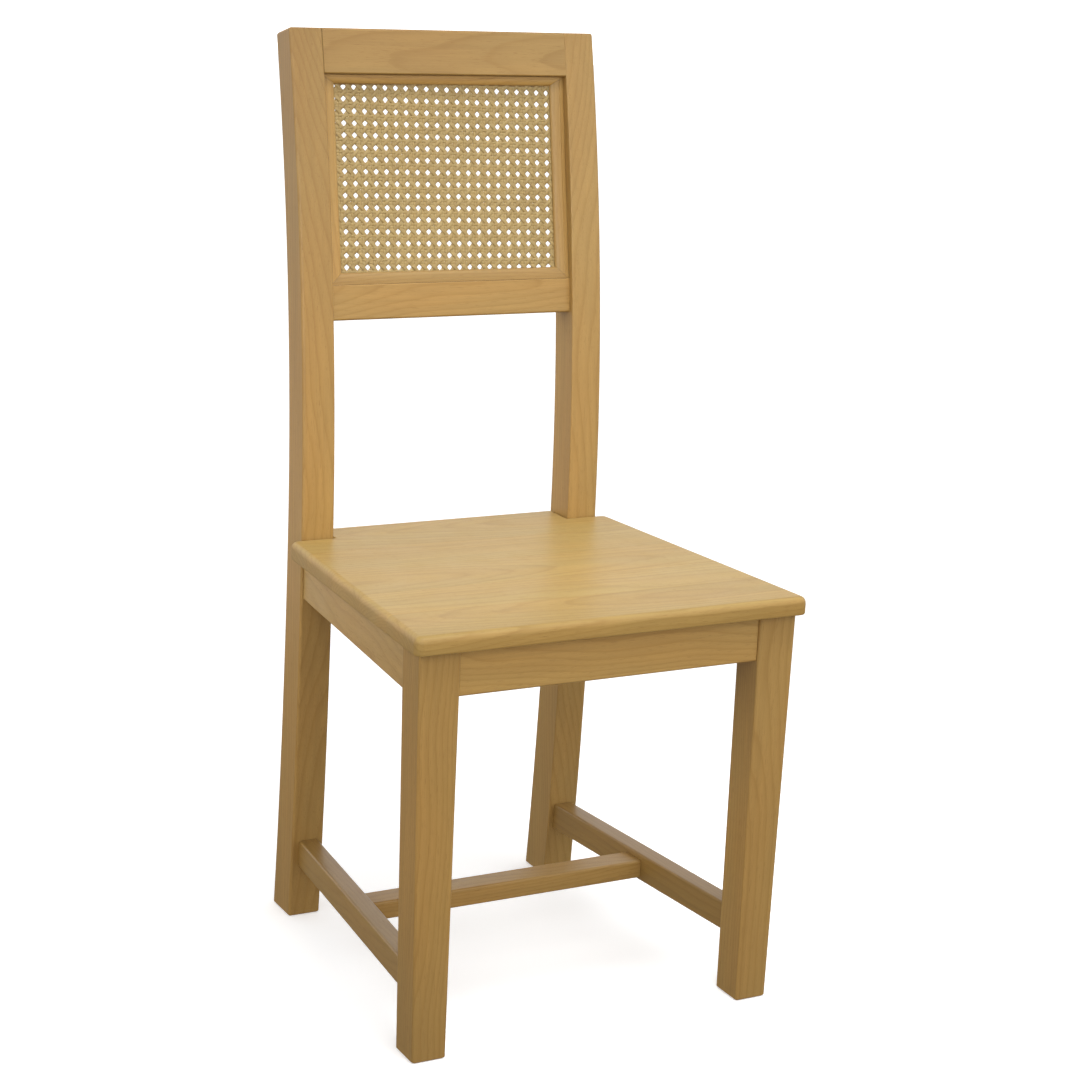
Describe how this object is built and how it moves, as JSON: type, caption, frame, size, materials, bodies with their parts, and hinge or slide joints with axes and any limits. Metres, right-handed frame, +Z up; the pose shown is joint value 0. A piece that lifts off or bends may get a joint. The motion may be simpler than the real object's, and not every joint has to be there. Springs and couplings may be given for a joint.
{
  "type": "high back dining chair",
  "caption": "High back dining chair with a solid plank seat, sabre-curved rear posts, a woven cane back panel in a wooden frame and an H stretcher between tapered legs.",
  "frame": {"origin": "on the floor, at the middle of the bounding box in plan", "axes": "+Z up, -Y towards the front of the chair, +X to the right as seen from the front"},
  "size_m": [0.4588, 0.4944, 1.0193],
  "materials": {
    "frame_wood": "light golden oak, satin lacquer, straight grain along each member",
    "seat_wood": "light golden oak boards, satin lacquer, grain from side to side",
    "bead_wood": "light golden oak moulding, satin lacquer",
    "block_wood": "unlacquered sawn oak",
    "cane": "natural woven cane, open octagonal weave, slightly glossy skin",
    "screw_steel": "zinc plated"
  },
  "bodies": {
    "root": {"rear_post_left": "frame_wood", "rear_post_right": "frame_wood", "front_leg_left": "frame_wood", "front_leg_right": "frame_wood", "crest_rail": "frame_wood", "lower_back_rail": "frame_wood", "front_apron": "frame_wood", "rear_apron": "frame_wood", "left_apron": "frame_wood", "right_apron": "frame_wood", "left_stretcher": "frame_wood", "right_stretcher": "frame_wood", "cross_stretcher": "frame_wood", "seat_board_1": "seat_wood", "seat_board_2": "seat_wood", "seat_board_3": "seat_wood", "seat_board_4": "seat_wood", "seat_board_5": "seat_wood", "bead_top": "bead_wood", "bead_bottom": "bead_wood", "bead_left": "bead_wood", "bead_right": "bead_wood", "strip_top": "bead_wood", "strip_bottom": "bead_wood", "strip_left": "bead_wood", "strip_right": "bead_wood", "corner_block_front_left": "block_wood", "corner_block_front_right": "block_wood", "corner_block_rear_left": "block_wood", "corner_block_rear_right": "block_wood", "cane_panel": "cane", "screw_front_left_a": "screw_steel", "screw_front_left_b": "screw_steel", "screw_front_left_seat": "screw_steel", "screw_front_right_a": "screw_steel", "screw_front_right_b": "screw_steel", "screw_front_right_seat": "screw_steel", "screw_rear_left_a": "screw_steel", "screw_rear_left_b": "screw_steel", "screw_rear_left_seat": "screw_steel", "screw_rear_right_a": "screw_steel", "screw_rear_right_b": "screw_steel", "screw_rear_right_seat": "screw_steel"}
  },
  "joints": []
}
